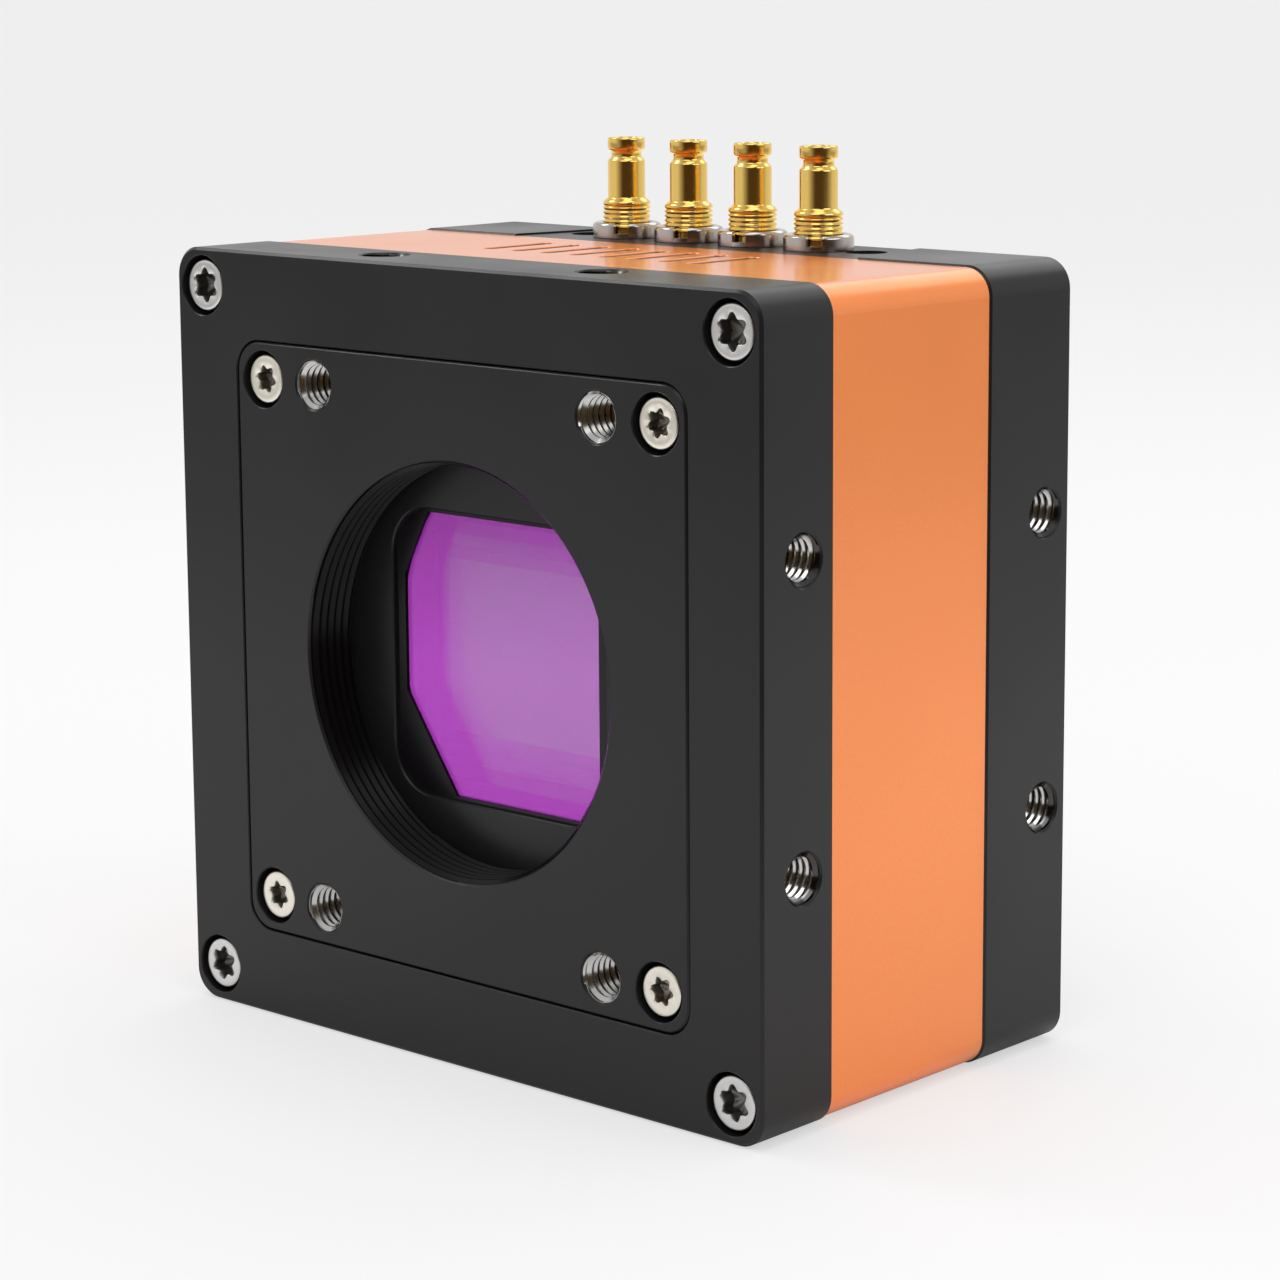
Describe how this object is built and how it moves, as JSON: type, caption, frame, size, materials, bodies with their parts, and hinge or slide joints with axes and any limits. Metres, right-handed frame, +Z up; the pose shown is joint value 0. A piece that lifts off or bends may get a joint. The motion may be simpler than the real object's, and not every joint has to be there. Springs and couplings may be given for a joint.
{
  "type": "machine vision camera",
  "caption": "Square industrial area scan camera body with a threaded lens opening, filter glass over the sensor, tapped mounting holes and coaxial jacks on top.",
  "frame": {"origin": "middle of the bounding box's bottom face, where the camera stands", "axes": "+Z up, the lens opening faces -Y, +X is the right-hand side when looking into the lens opening"},
  "size_m": [0.08, 0.0472, 0.0904],
  "materials": {
    "black_anodised": "satin black anodised",
    "orange_anodised": "satin orange anodised",
    "steel_screw": "plain turned steel",
    "nickel_screw": "nickel plated",
    "black_screw": "black oxide",
    "seal_rubber": "matt",
    "mask_black": "matt black",
    "purple_glass": "coated filter glass",
    "clear_glass": "clear",
    "sensor_ceramic": "brown ceramic",
    "silicon": "polished die",
    "circuit_board": "solder resist",
    "connector_black": "moulded",
    "spacer_steel": "turned",
    "chip_lid": "matt lid",
    "chip_black": "moulded",
    "thermal_pad": "soft pad",
    "bare_aluminium": "machined",
    "nickel": "bright nickel",
    "gold": "bright gold plated",
    "insulator_white": "moulded",
    "cable_white": "flat flexible cable"
  },
  "bodies": {
    "root": {"board_stack_screws": "steel_screw", "coax_body_1": "gold", "coax_body_2": "gold", "coax_body_3": "gold", "coax_body_4": "gold", "coax_insulator_1": "insulator_white", "coax_insulator_2": "insulator_white", "coax_insulator_3": "insulator_white", "coax_insulator_4": "insulator_white", "coax_pin_1": "gold", "coax_pin_2": "gold", "coax_pin_3": "gold", "coax_pin_4": "gold", "coax_ring_nuts": "nickel", "connector_panel": "black_anodised", "filter_gasket": "seal_rubber", "filter_glass": "purple_glass", "filter_mask": "mask_black", "flat_cable": "cable_white", "front_gasket": "seal_rubber", "front_plate": "black_anodised", "front_plate_screws": "steel_screw", "heat_spreader": "bare_aluminium", "jack_board": "circuit_board", "jack_cable_socket": "connector_black", "lens_mount_plate": "black_anodised", "lens_plate_screws": "nickel_screw", "lens_plate_seal": "seal_rubber", "memory_chips": "chip_black", "middle_housing": "orange_anodised", "panel_screws": "black_screw", "power_board": "circuit_board", "power_board_screws": "steel_screw", "power_board_spacers": "spacer_steel", "power_capacitors": "bare_aluminium", "power_inductors": "chip_black", "power_link_header": "connector_black", "processor_board": "circuit_board", "processor_board_connector": "connector_black", "processor_board_spacers": "spacer_steel", "processor_cable_socket": "connector_black", "processor_chip": "chip_lid", "rear_cover": "black_anodised", "rear_cover_screws": "steel_screw", "rear_gasket": "seal_rubber", "sensor_board": "circuit_board", "sensor_board_connector": "connector_black", "sensor_board_spacers": "spacer_steel", "sensor_cover_glass": "clear_glass", "sensor_die": "silicon", "sensor_package": "sensor_ceramic", "thermal_pad": "thermal_pad"}
  },
  "joints": []
}
